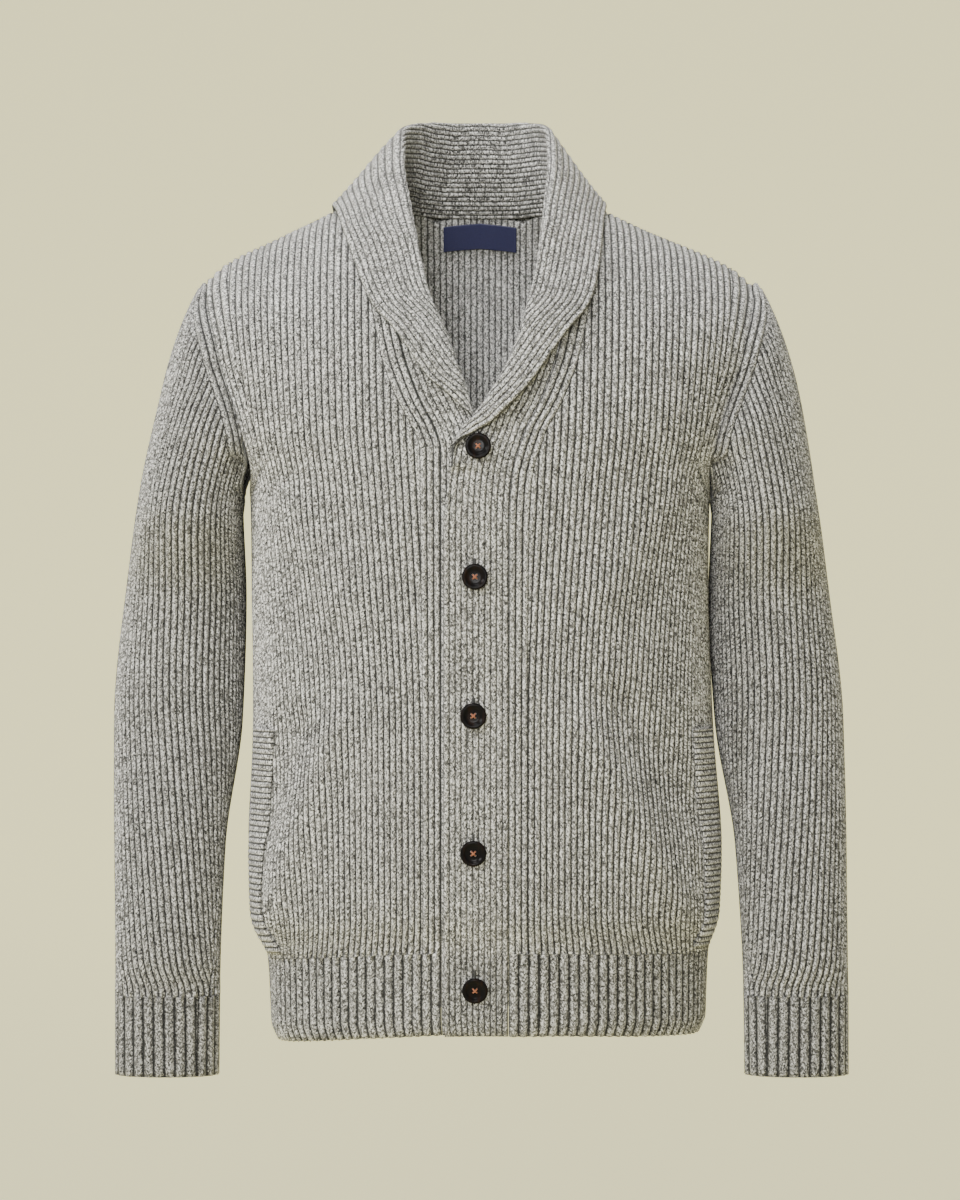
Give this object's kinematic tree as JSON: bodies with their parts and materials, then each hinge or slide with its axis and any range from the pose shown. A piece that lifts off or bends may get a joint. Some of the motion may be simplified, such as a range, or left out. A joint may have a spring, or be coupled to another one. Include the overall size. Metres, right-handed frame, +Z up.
{
  "type": "shawl collar cardigan",
  "caption": "Chunky ribbed shawl collar cardigan, hollow as worn and buttoned up, with set-in sleeves, ribbed hem and cuffs, and side pocket welts.",
  "frame": {"origin": "middle of the neck opening, level with the neck ends of the shoulder seams, where the wearer's shoulders and neck hold the cardigan", "axes": "+Z up, -Y to the front, +X to the wearer's left"},
  "size_m": [0.5997, 0.268, 0.7854],
  "materials": {
    "marl_knit": "matt marled grey wool in a thick rib",
    "horn_button": "polished dark horn",
    "label_cloth": "bare woven satin"
  },
  "bodies": {
    "root": {"back": "marl_knit", "front_left": "marl_knit", "front_right": "marl_knit", "sleeve_left": "marl_knit", "sleeve_right": "marl_knit", "collar": "marl_knit", "band_left": "marl_knit", "band_right": "marl_knit", "pocket_welt_left": "marl_knit", "pocket_welt_right": "marl_knit", "button_1": "horn_button", "button_2": "horn_button", "button_3": "horn_button", "button_4": "horn_button", "button_5": "horn_button", "label": "label_cloth"}
  },
  "joints": []
}
